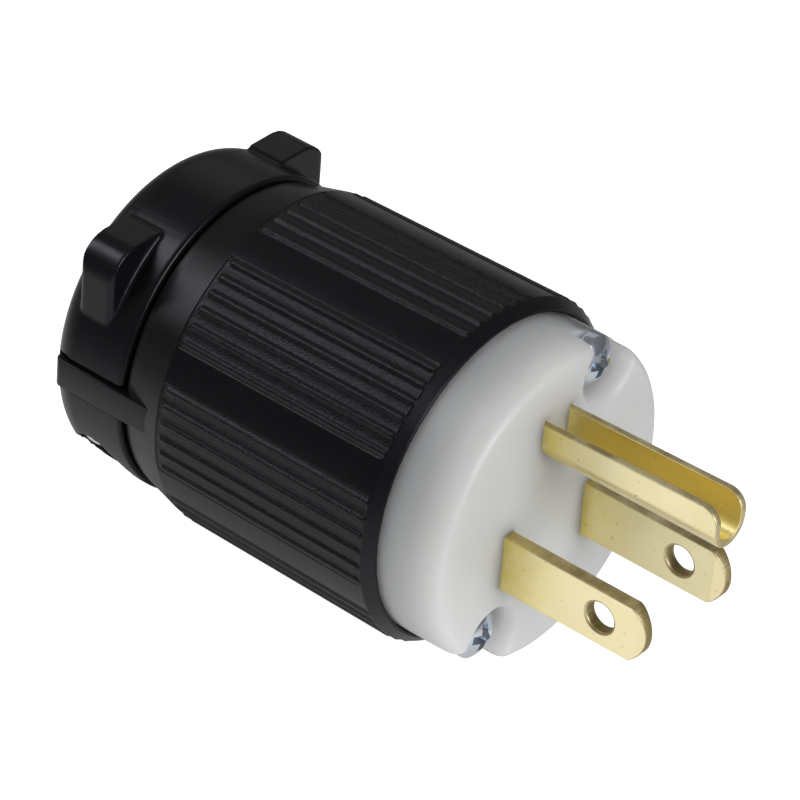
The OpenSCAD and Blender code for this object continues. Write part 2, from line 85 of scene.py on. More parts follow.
camera = add_object("camera", bpy.data.cameras.new("camera"))
camera.location = CAMERA_PLACE
camera.rotation_euler = [math.radians(a) for a in CAMERA_TURN]
camera.data.lens = LENS_LENGTH
camera.data.clip_start, camera.data.clip_end = 0.01, 20
scene.camera = camera
print("camera stands", round(camera.location.length, 3), "m from the plug")

# %% [markdown]
# ## The floor
# The plug lies on a white table. Glossy black plastic shows mostly what it mirrors, so the table's brightness
# matters: it glows near the plug, and fades under it, where the plug keeps the light out, and far off. Shadow
# and bounced light alone could do that, but not so evenly. The camera itself sees plain white, as in a
# product photograph: a Light Path node tells its rays from mirrored ones.

# %% Floor: mesh
FLOOR_REACH = 2.5

floor_z = cad_box[0].z
corners = [(x * FLOOR_REACH, y * FLOOR_REACH, floor_z) for x, y in ((-1, -1), (1, -1), (1, 1), (-1, 1))]
floor_mesh = bpy.data.meshes.new("floor")
floor_mesh.from_pydata(corners, [], [(0, 1, 2, 3)])
floor = add_object("floor", floor_mesh)
print("floor at", round(floor_z / MM, 2), "mm")


# %% Floor: glow
def plain_material(name):
    """A material and its Principled shader."""
    material = bpy.data.materials.new(name)
    material.use_nodes = True
    return material, material.node_tree.nodes["Principled BSDF"]


def set_inputs(node, values):
    """Sets named sockets of a node."""
    for label, value in values.items():
        node.inputs[label].default_value = value


def floor_ring(tree, centre, radii, fade, levels):
    """A value that runs between two levels from one ellipse on the floor to another. fade: their sizes."""
    shift, size, ramp = [tree.nodes.new("ShaderNode" + k) for k in ("VectorMath", "VectorMath", "MapRange")]
    shift.operation, size.operation = "MULTIPLY_ADD", "LENGTH"
    shift.inputs[1].default_value = [1 / r for r in radii] + [0]
    shift.inputs[2].default_value = [-c / r for c, r in zip(centre, radii)] + [0]
    tree.links.new(tree.nodes.new("ShaderNodeNewGeometry").outputs["Position"], shift.inputs[0])
    tree.links.new(shift.outputs["Vector"], size.inputs[0])
    tree.links.new(size.outputs["Value"], ramp.inputs["Value"])
    set_inputs(ramp, {"From Min": fade[0], "From Max": fade[1], "To Min": levels[0], "To Max": levels[1]})
    return ramp.outputs["Result"]


def white_to_camera(tree, strength):
    """A glow of the given strength, and of at least 1 for rays that come straight from the camera."""
    larger = tree.nodes.new("ShaderNodeMath")
    larger.operation = "MAXIMUM"
    tree.links.new(strength, larger.inputs[0])
    tree.links.new(tree.nodes.new("ShaderNodeLightPath").outputs["Is Camera Ray"], larger.inputs[1])
    return larger.outputs[0]


table_white, shader = plain_material("table_white")
set_inputs(shader, {"Base Color": (0.45, 0.45, 0.45, 1), "Roughness": 0.9, "Emission Color": (1, 1, 1, 1)})
tree = table_white.node_tree
near = floor_ring(tree, centre=(-0.02, 0.03), radii=(0.1, 0.1), fade=(0.25, 1.2), levels=(0.83, 0.0))
under = floor_ring(tree, centre=(0.012, 0.034), radii=(0.046, 0.05), fade=(0.5, 1.15), levels=(0.1, 1.0))
glow = tree.nodes.new("ShaderNodeMath")
glow.operation = "MULTIPLY"
tree.links.new(near, glow.inputs[0])
tree.links.new(under, glow.inputs[1])
tree.links.new(white_to_camera(tree, glow.outputs[0]), shader.inputs["Emission Strength"])
floor_mesh.materials.append(table_white)
print("finish", table_white.name, "with", len(tree.nodes), "nodes")

# %% [markdown]
# ## The light
# Soft boxes are area lamps. A large one in front lights the white face. Two behind the plug draw the streaks
# on the ribs and on the sloping shoulder, so they stand where those surfaces mirror them. A weak one on the
# right fills the fold of the earth pin. A dim tent all round keeps the blacks from going dead. An HDR picture
# of a studio could light it too, but lamps can be moved one by one until each streak is where it belongs.


# %% Lights
def soft_box(name, place, wide, high, watts):
    """A soft box that faces the plug."""
    light = bpy.data.lights.new(name, "AREA")
    light.shape, light.size, light.size_y, light.energy = "RECTANGLE", wide, high, watts
    box = add_object(name, light)
    box.location = place
    box.rotation_euler = (-Vector(place)).to_track_quat("-Z", "Y").to_euler()


soft_box("light_front", place=(-0.1, -0.93, 0.36), wide=0.5, high=0.5, watts=6.7)
soft_box("light_back", place=(-0.3, 0.6, 0.62), wide=0.27, high=0.44, watts=2.2)
soft_box("light_low_back", place=(-0.2, 0.83, 0.34), wide=0.48, high=0.3, watts=0.9)
soft_box("light_right", place=(0.62, 0.43, 0.55), wide=0.5, high=0.5, watts=0.2)

# %% Tent
TENT_LOW, TENT_HIGH, TENT_HIGH_FROM = 0.14, 0.22, 0.6

tent = bpy.data.worlds.new("white_tent")
tent.use_nodes = True
tree = tent.node_tree
background = tree.nodes["Background"]
background.inputs["Color"].default_value = (1, 1, 1, 1)
split, climb = tree.nodes.new("ShaderNodeSeparateXYZ"), tree.nodes.new("ShaderNodeMapRange")
tree.links.new(tree.nodes.new("ShaderNodeTexCoord").outputs["Generated"], split.inputs[0])
tree.links.new(split.outputs["Z"], climb.inputs["Value"])
set_inputs(climb, {"From Min": 0.0, "From Max": TENT_HIGH_FROM, "To Min": TENT_LOW, "To Max": TENT_HIGH})
tree.links.new(white_to_camera(tree, climb.outputs["Result"]), background.inputs["Strength"])
scene.world = tent
scene.view_settings.view_transform = "Standard"
print("tent glows from", TENT_LOW, "at the floor to", TENT_HIGH, "overhead")

# %% [markdown]
# ## Two shared effects
# Some effects appear in more than one material, so each is a node group with named sockets, built once.
# Moulded plastic carries the skin of its tool: a fine grain, coarser where the tool was spark eroded.
# Stamped and plated metal is mottled: cloudy stains, small pits and specks, and streaks where a punch sheared
# it. On brass, masks also let the stain colour stand for painted shade at the root, and paint a glow of gold
# where light bounces inside a fold. Painted pictures could show this too, but they need unwrapped surfaces;
# noise in the object's own frame fits every piece as it is.


# %% Helpers: a node group and its sockets
def new_group(name, inputs, outputs):
    """A shader node group with float or colour sockets, and the sockets of its two end nodes."""
    group = bpy.data.node_groups.new(name, "ShaderNodeTree")
    for side, sockets in (("INPUT", inputs), ("OUTPUT", outputs)):
        for label, default in sockets.items():
            kind = "NodeSocketColor" if isinstance(default, tuple) else "NodeSocketFloat"
            group.interface.new_socket(label, in_out=side, socket_type=kind).default_value = default
    return group, group.nodes.new("NodeGroupInput").outputs, group.nodes.new("NodeGroupOutput").inputs


def feed(tree, socket, value):
    """Sets a socket from a number or a colour, or links it from another socket."""
    if isinstance(value, (int, float, tuple)):
        socket.default_value = value
    else:
        tree.links.new(value, socket)


print("helpers for a group: new_group, feed")


# %% Helpers: single nodes
def noise(tree, where, scale, detail=2.0, rough=0.5):
    node = tree.nodes.new("ShaderNodeTexNoise")
    for label, value in (("Vector", where), ("Scale", scale), ("Detail", detail), ("Roughness", rough)):
        feed(tree, node.inputs[label], value)
    return node.outputs["Fac"]


def between(tree, value, low, high, to_low=0.0, to_high=1.0):
    """Carries a value from one range to another, clamped."""
    node = tree.nodes.new("ShaderNodeMapRange")
    for label, part in (("Value", value), ("From Min", low), ("From Max", high), ("To Min", to_low),
                        ("To Max", to_high)):
        feed(tree, node.inputs[label], part)
    return node.outputs["Result"]


def blend(tree, factor, a, b):
    """Mixes two colours."""
    node = tree.nodes.new("ShaderNodeMix")
    node.data_type = "RGBA"
    for label, part in (("Factor", factor), ("A", a), ("B", b)):
        feed(tree, next(s for s in node.inputs if s.name == label and s.enabled), part)
    return next(s for s in node.outputs if s.enabled)


def maths(tree, operation, *parts):
    node = tree.nodes.new("ShaderNodeMath")
    node.operation = operation
    for socket, part in zip(node.inputs, parts):
        feed(tree, socket, part)
    return node.outputs[0]


print("helpers for nodes: noise, between, blend, maths")

# %% Group: moulded grain
# The share of the grain that a smooth skin keeps
SMOOTH_SHARE = 0.08
# How fine the broad unevenness of the gloss is, per metre, and how strong
BROAD_SCALE, BROAD_SPREAD = 260.0, 0.14


def build_moulded_grain():
    tree, given, result = new_group(
        "moulded_grain",
        {"Colour": (0.8, 0.8, 0.8, 1), "Fleck Colour": (0.9, 0.9, 0.9, 1), "Grain Scale": 6000.0,
         "Smooth Roughness": 0.35, "Coarse Roughness": 0.55, "Coarse": 0.0},
        {"Colour": (0.8, 0.8, 0.8, 1), "Roughness": 0.5, "Height": 0.0})
    where = tree.nodes.new("ShaderNodeTexCoord").outputs["Object"]
    fine = noise(tree, where, given["Grain Scale"], 2.0, 0.6)
    uneven = maths(tree, "SUBTRACT", noise(tree, where, BROAD_SCALE, 3.0), 0.5)
    amount = maths(tree, "MULTIPLY_ADD", given["Coarse"], 1 - SMOOTH_SHARE, SMOOTH_SHARE)
    fleck = maths(tree, "MULTIPLY", between(tree, fine, 0.5, 0.7), amount)
    feed(tree, result["Colour"], blend(tree, fleck, given["Colour"], given["Fleck Colour"]))
    even = between(tree, given["Coarse"], 0.0, 1.0, given["Smooth Roughness"], given["Coarse Roughness"])
    feed(tree, result["Roughness"], maths(tree, "MULTIPLY_ADD", uneven, BROAD_SPREAD, even))
    feed(tree, result["Height"], maths(tree, "MULTIPLY", fine, amount))
    return tree


moulded_grain = build_moulded_grain()
print("group", moulded_grain.name, "with", len(moulded_grain.nodes), "nodes")

# %% Group: metal mottle, painted shade and painted glow
# How fine each effect is, per metre. Streaks run along X.
CLOUD_SCALE, PIT_SCALE, SPECK_SCALE, TEAR_SCALE = 330.0, 1300.0, 1700.0, 190.0
STREAK_SCALES = (500.0, 4200.0, 4200.0)
# How much rougher metal is under the painted fold glow, and at a cut edge
FOLD_GLOW_ROUGH, CUT_ROUGH = 0.12, 0.18


def stretched(tree, where, factors):
    """Coordinates stretched along each axis, for streaks."""
    node = tree.nodes.new("ShaderNodeVectorMath")
    node.operation = "MULTIPLY"
    tree.links.new(where, node.inputs[0])
    node.inputs[1].default_value = factors
    return node.outputs[0]


def build_metal_mottle_shade_glow():
    tree, given, result = new_group(
        "metal_mottle_shade_glow",
        {"Colour": (0.8, 0.8, 0.8, 1), "Stain And Shade Colour": (0.5, 0.4, 0.2, 1), "Stain And Shade": 0.3,
         "Cut Colour": (0.5, 0.4, 0.3, 1), "Cut Edge": 0.0, "Fold Glow Colour": (1, 0.87, 0.4, 1), "Fold Glow": 0.0,
         "Roughness": 0.25, "Spread": 0.15},
        {"Colour": (0.8, 0.8, 0.8, 1), "Roughness": 0.3, "Height": 0.0})
    where = tree.nodes.new("ShaderNodeTexCoord").outputs["Object"]
    cloud = noise(tree, where, CLOUD_SCALE, 4.0, 0.6)
    pits = between(tree, noise(tree, where, PIT_SCALE, 2.0, 0.4), 0.72, 0.78)
    spots = maths(tree, "MAXIMUM", between(tree, cloud, 0.4, 0.7), pits)
    # With its mask on brass, the stain colour also stands for painted shade at the root
    stain = maths(tree, "MULTIPLY", maths(tree, "MULTIPLY_ADD", spots, 0.5, 0.5), given["Stain And Shade"])
    skin = blend(tree, stain, given["Colour"], given["Stain And Shade Colour"])
    # Painted glow: a brighter gold where light bounces inside the earth pin's fold
    skin = blend(tree, given["Fold Glow"], skin, given["Fold Glow Colour"])
    specks = between(tree, noise(tree, where, SPECK_SCALE, 1.0, 0.4), 0.71, 0.79, 0.0, 0.5)
    skin = blend(tree, specks, skin, given["Cut Colour"])
    streak = noise(tree, stretched(tree, where, STREAK_SCALES), 1.0, 3.0, 0.6)
    patchy = between(tree, noise(tree, where, TEAR_SCALE, 3.0), 0.42, 0.62)
    tear = maths(tree, "MULTIPLY_ADD", patchy, 0.65, between(tree, streak, 0.3, 0.8, 0.1, 0.4))
    torn = maths(tree, "MULTIPLY", tear, given["Cut Edge"])
    feed(tree, result["Colour"], blend(tree, torn, skin, given["Cut Colour"]))
    uneven = maths(tree, "SUBTRACT", cloud, 0.5)
    rough = maths(tree, "MULTIPLY_ADD", uneven, given["Spread"], given["Roughness"])
    rough = maths(tree, "MULTIPLY_ADD", given["Fold Glow"], FOLD_GLOW_ROUGH, rough)
    feed(tree, result["Roughness"], maths(tree, "MULTIPLY_ADD", given["Cut Edge"], CUT_ROUGH, rough))
    grooves = maths(tree, "MULTIPLY", streak, given["Cut Edge"])
    hollows = maths(tree, "MULTIPLY_ADD", pits, 0.6, cloud)
    feed(tree, result["Height"], maths(tree, "SUBTRACT", grooves, hollows))
    return tree


metal_mottle_shade_glow = build_metal_mottle_shade_glow()
print("group", metal_mottle_shade_glow.name, "with", len(metal_mottle_shade_glow.nodes), "nodes")

# %% [markdown]
# ## The materials
# Each material is one Principled shader with one of the groups in front of it. A mask that is stored on a
# mesh, such as the share of a point that lies in a ribbed patch, reaches the group through an Attribute node.
# White nylon lets light deep in: with subsurface scattering its notches and edges stay bright and its shading
# soft, which no diffuse colour could give.

# %% Materials: from group to shader
finish = {}


def put_group(material, shader, group, values, bump, masks):
    """Puts a group before a shader: colour, roughness, and a bump of the given height in metres."""
    tree = material.node_tree
    node = tree.nodes.new("ShaderNodeGroup")
    node.node_tree = group
    set_inputs(node, values)
    for mask, label in masks:
        reader = tree.nodes.new("ShaderNodeAttribute")
        reader.attribute_name = mask
        tree.links.new(reader.outputs["Fac"], node.inputs[label])
    raised = tree.nodes.new("ShaderNodeBump")
    raised.inputs["Distance"].default_value = bump
    tree.links.new(node.outputs["Height"], raised.inputs["Height"])
    for start, end in ((node.outputs["Colour"], "Base Color"), (node.outputs["Roughness"], "Roughness"),
                       (raised.outputs["Normal"], "Normal")):
        tree.links.new(start, shader.inputs[end])


def plastic(slot, colour, fleck, smooth, coarse, bump, scale=6000.0, masks=()):
    """A moulded finish. smooth and coarse say how rough its smooth and its grained skin are."""
    finish[slot], shader = plain_material(slot)
    put_group(finish[slot], shader, moulded_grain,
              {"Colour": (*colour, 1), "Fleck Colour": (*fleck, 1), "Grain Scale": scale,
               "Smooth Roughness": smooth, "Coarse Roughness": coarse}, bump, masks)
    return shader


def metal(slot, colour, stain, amount, cut, rough, spread=0.2, bump=0.00002, masks=()):
    """A metal finish: its colour, the colour and the amount of its stains, which on brass also stand for
    painted shade at the root, and the colour of a cut edge.
    """
    finish[slot], shader = plain_material(slot)
    shader.inputs["Metallic"].default_value = 1.0
    put_group(finish[slot], shader, metal_mottle_shade_glow,
              {"Colour": (*colour, 1), "Stain And Shade Colour": (*stain, 1), "Stain And Shade": amount, "Cut Colour": (*cut, 1),
               "Roughness": rough, "Spread": spread}, bump, masks)


print("two kinds of finish: plastic, metal")

# %% Materials: plastics
black = plastic("black_nylon", colour=(0.0045, 0.0041, 0.0052), fleck=(0.021, 0.02, 0.024), smooth=0.27,
                coarse=0.31, bump=0.000055, masks=[("patch", "Coarse")])
set_inputs(black, {"Specular IOR Level": 0.22, "Specular Tint": (0.92, 0.9, 1.0, 1.0)})
white = plastic("white_nylon", colour=(0.62, 0.62, 0.616), fleck=(0.66, 0.66, 0.657), smooth=0.42,
                coarse=0.5, bump=0.00003, scale=2500.0)
set_inputs(white, {"Subsurface Weight": 1.0, "Subsurface Radius": (1.0, 0.95, 0.88),
                   "Subsurface Scale": 0.014})
plastic("grey_plastic", colour=(0.1, 0.1, 0.11), fleck=(0.16, 0.16, 0.17), smooth=0.5, coarse=0.6,
        bump=0.00005)
print("plastics:", ", ".join(finish))

# %% Materials: metals
# On brass the masks also paint shade at the root and a glow of bounced light inside the earth pin's fold
metal("brass", colour=(0.92, 0.825, 0.52), stain=(0.82, 0.68, 0.225), amount=0.3, cut=(0.36, 0.28, 0.13),
      rough=0.32, spread=0.16, bump=0.000012,
      masks=[("cut_edge", "Cut Edge"), ("stain", "Stain And Shade"), ("fold_glow", "Fold Glow")])
metal("zinc_steel", colour=(0.76, 0.8, 0.86), stain=(0.36, 0.42, 0.52), amount=0.4, cut=(0.4, 0.4, 0.4),
      rough=0.17, spread=0.14)
metal("brass_screw", colour=(0.78, 0.60, 0.26), stain=(0.5, 0.35, 0.15), amount=0.3, cut=(0.4, 0.3, 0.2),
      rough=0.3)
metal("nickel_screw", colour=(0.70, 0.68, 0.64), stain=(0.45, 0.43, 0.4), amount=0.3, cut=(0.4, 0.4, 0.4),
      rough=0.3)
metal("green_screw", colour=(0.04, 0.26, 0.09), stain=(0.02, 0.15, 0.05), amount=0.4, cut=(0.3, 0.3, 0.3),
      rough=0.35)
print("all finishes:", ", ".join(finish))

# %% [markdown]
# ## From numbers to a piece
# Each piece ends the same way. Its bmesh becomes a mesh whose shading breaks at sharp edges, the mesh becomes
# an object with the finish of its slot, and the object rides on the plug's one body in place of a CAD solid.
# An Edge Split modifier could break the shading too, but sharp edges in the mesh leave its points joined.


# %% Helpers: mesh and piece
def to_mesh(bm, name, sharp=40):
    """A mesh with outward faces, smooth shaded but for marked edges and those sharper than an angle."""
    bmesh.ops.recalc_face_normals(bm, faces=bm.faces)
    limit = math.radians(sharp)
    for e in bm.edges:
        if e.calc_face_angle(0.0) > limit:
            e.smooth = False
    for f in bm.faces:
        f.smooth = True
    mesh = bpy.data.meshes.new(name)
    bm.to_mesh(mesh)
    bm.free()
    return mesh


def dress(mesh, slot, *nodes):
    """The piece made of a mesh: its object, finish, ride and the solids that it stands for."""
    mesh.materials.clear()
    mesh.materials.append(finish[slot])
    piece = add_object(mesh.name, mesh)
    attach(piece, "root")
    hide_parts(*nodes)
    print(piece.name, "has", sum(len(p.vertices) - 2 for p in mesh.polygons), "triangles, for", *nodes)


print("helpers for a piece: to_mesh, dress")

# %% [markdown]
# ## The housing's skin
# The grip is a slightly tapered drum with eight sunk patches, each with six low, soft ribs and slightly
# dished fields, and smooth panels between them. The front edge slopes off, with a smooth band behind it; at
# the rear a straight slope runs down to the groove in front of the clamp. Booleans of 48 ribs would leave
# hard edges to bevel. A grid of rings with its radius as a function of angle and depth gives soft moulded
# edges at once, if its columns crowd where the surface turns.

# %% Housing: sizes
# From here on sizes are in millimetres, and a depth is a distance behind the face
RIM_DEPTH, RIM_BORE, RIM_EDGE, RIM_SLOPE = 7.4, 17.54, 17.89, 1.35
BAND_END, GRIP_END, NECK_DEPTH, HOUSING_END = 8.75, 35.5, 39.0, 40.75
NECK, LIP, LIP_R = 17.6, 17.16, 0.15
RIBS, RIB_FRONT, RIB_TAPER, RIB_HEIGHT = 6, 18.95, 0.33 / 28.1, 0.26
RIB_TOP, RIB_FOOT, RIB_END, DISH = 0.14, 1.14, 34.7, 0.04
PATCHES, PATCH_SINK, PATCH_CORNER, PATCH_STEP = 8, 0.1, 0.5, 0.07
PATCH_TURN, PATCH_START = 2 * math.pi / PATCHES, math.radians(90 - 1.8)
# Distances across a patch are measured on a drum of this radius
MEAN_R = 18.6
RIB_PITCH = math.radians(5.8) * MEAN_R
PATCH_HALF = math.radians(16.5) * MEAN_R
RIB_CENTRES = [(j - (RIBS - 1) / 2) * RIB_PITCH for j in range(RIBS)]
print("ribs every", round(RIB_PITCH, 2), "mm in patches", round(2 * PATCH_HALF, 2), "mm wide")


# %% Housing: radius over the grip
def rise(low, high, x):
    """0 below low, 1 above high, an eased step in between."""
    t = np.clip((x - low) / (high - low), 0, 1)
    return t * t * (3 - 2 * t)


def soft_min(a, b, k):
    """The smaller of two levels, with the crease between them rounded over a width k."""
    h = np.clip(0.5 + 0.5 * (b - a) / k, 0, 1)
    return b + (a - b) * h - k * h * (1 - h)


def grip_level(angles, depth):
    """Radius over grip, shoulder and neck at one depth, and how far each point lies in a ribbed patch."""
    across = ((angles - PATCH_START + PATCH_TURN / 2) % PATCH_TURN - PATCH_TURN / 2) * MEAN_R
    ground = RIB_FRONT - RIB_HEIGHT - RIB_TAPER * (min(depth, GRIP_END) - RIM_DEPTH)
    ribs, dish = np.zeros_like(across), np.zeros_like(across)
    for c in RIB_CENTRES:
        away = np.hypot(across - c, max(0.0, depth - RIB_END))
        ribs = np.maximum(ribs, 1 - rise(RIB_TOP, RIB_FOOT, away * 2))
    for c in RIB_CENTRES[1:]:
        dish = np.maximum(dish, 1 - ((across - c + RIB_PITCH / 2) * 2 / (RIB_PITCH - RIB_FOOT)) ** 2)
    side = np.abs(across) - PATCH_HALF + PATCH_CORNER
    end = max(depth - GRIP_END, BAND_END - depth) + PATCH_CORNER
    edge = np.minimum(np.maximum(side, end), 0) + np.hypot(np.maximum(side, 0), max(end, 0)) - PATCH_CORNER
    panel = rise(-PATCH_STEP, PATCH_STEP, edge)
    radius = ground + np.maximum(RIB_HEIGHT * ribs, PATCH_SINK * panel) - DISH * dish * (1 - panel)
    down = max(0.0, (depth - GRIP_END) / (NECK_DEPTH - GRIP_END))
    return radius - (ground + PATCH_SINK - NECK) * down, 1 - panel


between_patches = np.array([PATCH_START + PATCH_TURN / 2])
print("a panel's radius at its rear end:", grip_level(between_patches, GRIP_END)[0].round(2), "mm")

# %% Housing: columns
# Where columns lie beside the middle of a rib, beside the edge of a patch, and across a panel
FLANK_STEPS = [0.05, 0.1, 0.15, 0.23, 0.32, 0.41, 0.49, 0.55, 0.6]
EDGE_STEPS = [-PATCH_STEP, -PATCH_STEP / 2, 0, PATCH_STEP / 2, PATCH_STEP, 0.11, 0.17, 0.3]
PANEL_SHARES = [0.35, 0.65]
CLOSEST = 0.015


def grip_angles():
    """Angles of the grid's columns, crowded on the ribs' flanks and at the patches' edges."""
    panel = PATCH_TURN * MEAN_R / 2 - PATCH_HALF
    across = [PATCH_HALF + s for s in EDGE_STEPS] + [PATCH_HALF + panel * f for f in PANEL_SHARES]
    across += [-s for s in across] + [PATCH_HALF + panel]
    for c in RIB_CENTRES:
        across += [c] + [c + s for s in FLANK_STEPS] + [c - s for s in FLANK_STEPS]
    across += [c + RIB_PITCH / 2 for c in RIB_CENTRES[:-1]]
    across = sorted(across)
    kept = [s for s, before in zip(across, [-math.inf] + across) if s - before > CLOSEST]
    turn = np.array(kept) / MEAN_R
    return np.concatenate([turn + PATCH_START + PATCH_TURN * i for i in range(PATCHES)])


angles = grip_angles()
print("housing grid has", len(angles), "columns")

# %% Housing: rows
# Depths of the rings outside, crowded where the surface turns
FRONT_DEPTHS = [7.42, 7.47, 7.55, 7.7, 7.9, 8.1, 8.25, 8.35, 8.42, 8.48, 8.54, 8.6, 8.65, 8.69, 8.72, 8.75,
                8.78, 8.82, 8.9, 9.3]
GRIP_DEPTHS = [12, 16, 20, 24, 28, 31, 33.6, 34.2, 34.5, 34.6, 34.68, 34.76, 34.84, 34.92, 35, 35.08, 35.16,
               35.25]
REAR_DEPTHS = [35.35, 35.43, 35.46, 35.5, 35.54, 35.57, 35.65, 35.8, 36.4, 37, 37.6, 38.2, 38.8, 38.95, 39.05,
               39.2, 39.5, 40.2]
# Radius and depth of the rings inside: ledge, bore and rim in front, then the rear opening and the wall
LEDGE_R, LEDGE_FRONT, LEDGE_END = 14.6, 11.4, 13.0
REAR_R, REAR_WALL = 11.1, 38.4
FRONT_RINGS = [(LEDGE_R, LEDGE_END), (LEDGE_R, LEDGE_FRONT), (RIM_BORE, LEDGE_FRONT),
               (RIM_BORE, RIM_DEPTH + 0.25), (17.56, RIM_DEPTH + 0.07), (17.62, RIM_DEPTH), (17.8, RIM_DEPTH)]
REAR_RINGS = [(11.3, HOUSING_END), (11.16, HOUSING_END - 0.06), (REAR_R, 40.1), (REAR_R, REAR_WALL),
              (15.6, REAR_WALL), (16.53, LEDGE_END)]
RIM_CREASE = 0.08


def housing_rows(angles):
    """Radius, depth and patch share of each ring: inner ledge, rim, grip, lip, and back along the inside."""
    flat = np.ones_like(angles)
    rows = [(flat * r, d, 0 * flat) for r, d in FRONT_RINGS]
    for d in FRONT_DEPTHS + GRIP_DEPTHS + REAR_DEPTHS:
        radius, patch = grip_level(angles, d)
        slope = RIM_EDGE + (d - RIM_DEPTH) * (RIB_FRONT - RIM_EDGE) / RIM_SLOPE
        rows.append((soft_min(radius, slope * flat, RIM_CREASE), d, patch * (radius < slope)))
    for a in np.radians([0, 22.5, 45, 67.5, 90]):
        r, d = LIP - LIP_R + LIP_R * math.cos(a), HOUSING_END - LIP_R + LIP_R * math.sin(a)
        rows.append((flat * r, d, 0 * flat))
    return rows + [(flat * r, d, 0 * flat) for r, d in REAR_RINGS]


rows = housing_rows(angles)
print("housing grid has", len(rows), "rows")


# %% Housing: grid
def join_rings(bm, a, b):
    """Faces between two rings of equally many points."""
    return [bm.faces.new((a[i - 1], a[i], b[i], b[i - 1])) for i in range(len(a))]


def join_all(bm, rings):
    """Faces between each ring and the next."""
    for a, b in zip(rings, rings[1:]):
        join_rings(bm, a, b)


def closed_grid(angles, rows):
    """A grid that closes both ways round, with the patch share stored on its points."""
    bm = bmesh.new()
    share = bm.verts.layers.float.new("patch")
    rings = []
    for radius, depth, patch in rows:
        ring = [bm.verts.new((r * math.cos(a) * MM, depth * MM, r * math.sin(a) * MM))
                for a, r in zip(angles, radius)]
        for v, p in zip(ring, patch):
            v[share] = p
        rings.append(ring)
    join_all(bm, rings + rings[:1])
    return bm


shell = closed_grid(angles, rows)
print("housing skin has", len(shell.faces), "faces")

# %% [markdown]
# ## Plates with rounded edges
# Arms, bosses, blades and the earth pin's sheet are all flat outlines with a thickness. One helper makes
# them: it lays rings round each outline, insets the first and last few along a quarter circle, and fills the
# two flat sides between the outline and its holes. A Bevel and a Boolean could do it, but rings keep the
# rounding even round small corners. The helper also marks sheared sides, so that metal can look torn there.


# %% Helpers: outlines
def arc(centre, r, start, end, count):
    """Points on a circle between two angles in degrees."""
    return [(centre[0] + r * math.cos(a), centre[1] + r * math.sin(a))
            for a in np.radians(np.linspace(start, end, count))]


def ring_of(centre, r, count, way=1):
    """Points all round a circle: anticlockwise, or clockwise with way -1."""
    return arc(centre, r, 0, way * 360, count + 1)[:-1]


def inward(points):
    """Mitred normals of a closed outline, to its left: inwards where it runs anticlockwise."""
    step = np.roll(points, -1, 0) - points
    normal = np.stack([-step[:, 1], step[:, 0]], 1)
    normal /= np.linalg.norm(normal, axis=1)[:, None]
    before = np.roll(normal, 1, 0)
    return (normal + before) / (1 + (normal * before).sum(1))[:, None]


print("inward from (1, 0) on a circle:", inward(np.array(ring_of((0, 0), 1, 48)))[0].round(2))


# %% Helpers: rounded plate
def edge_steps(low, high, edge, segments):
    """Inset and height of the rings of a plate whose edges are rounded."""
    turns = [math.pi / 2 * k / segments for k in range(segments + 1)]
    first = [(edge * (1 - math.sin(a)), low + edge * (1 - math.cos(a))) for a in turns]
    return first + [(inset, low + high - w) for inset, w in reversed(first)]


def ring_edges(bm, ring):
    return [bm.edges.get((ring[i - 1], ring[i])) for i in range(len(ring))]


def fill_flat(bm, edges):
    """Fills a flat side between an outline and its holes, and keeps its border crisp."""
    bmesh.ops.triangle_fill(bm, use_beauty=True, use_dissolve=False, edges=edges)
    for e in edges:
        e.smooth = False


def stamp(bm, outlines, place, low, high, segments=3):
    """A plate from low to high. outlines: the outside, anticlockwise, then holes, clockwise, each with the
    radius of its edges. place turns (u, v, height) in millimetres into a point in metres. Sheared sides are
    marked 1, rounded edges 0.5, and both 0.5 more in a hole."""
    cut = bm.faces.layers.float.get("cut_edge") or bm.faces.layers.float.new("cut_edge")
    sides = [[], []]
    for n, (points, edge) in enumerate(outlines):
        points = np.asarray(points, float)
        normal = inward(points)
        rings = [[bm.verts.new(place(u, v, w)) for u, v in points + normal * inset]
                 for inset, w in edge_steps(low, high, edge, segments)]
        for k, (a, b) in enumerate(zip(rings, rings[1:])):
            for f in join_rings(bm, a, b):
                f[cut] = (1.0 if k == segments else 0.5) + 0.5 * (n > 0)
        sides[0] += ring_edges(bm, rings[0])
        sides[1] += ring_edges(bm, rings[-1])
    for edges in sides:
        fill_flat(bm, edges)


print("a plate has", len(edge_steps(0, 1, 0.1, 3)), "rings round its edge")

# %% Housing: arms and bosses
ARM_IN, ARM_OUT, ARM_FRONT, ARM_END, ARM_R = 15.7, 18.0, 35.9, 49.7, 0.8
ARM_LOW, ARM_HIGH, ARM_EDGE = -1.35, 1.95, 0.15
SCREW_TURNS, SCREW_R = (math.radians(59), math.radians(239)), 14.8
BOSS_R, BOSS_END, BOSS_EDGE = 3.0, 31.1, 0.3


def add_arms(bm):
    outline = [(ARM_IN, ARM_FRONT), (ARM_OUT, ARM_FRONT)]
    outline += arc((ARM_OUT - ARM_R, ARM_END - ARM_R), ARM_R, 0, 90, 7)
    outline += arc((ARM_IN + ARM_R, ARM_END - ARM_R), ARM_R, 90, 180, 7)
    for side in (-1, 1):
        stamp(bm, [(outline, ARM_EDGE)], lambda u, v, w: Vector((side * u, v, w)) * MM, ARM_LOW, ARM_HIGH)


def add_bosses(bm, r, front, rear):
    """Round pillars about the two assembly screws."""
    for turn in SCREW_TURNS:
        centre = (SCREW_R * math.cos(turn), SCREW_R * math.sin(turn))
        stamp(bm, [(ring_of(centre, r, 24), BOSS_EDGE)], lambda u, v, w: Vector((u, w, v)) * MM, front, rear)


add_arms(shell)
add_bosses(shell, BOSS_R, LEDGE_FRONT, BOSS_END)
dress(to_mesh(shell, "housing_shell", sharp=50), "black_nylon", "housing")

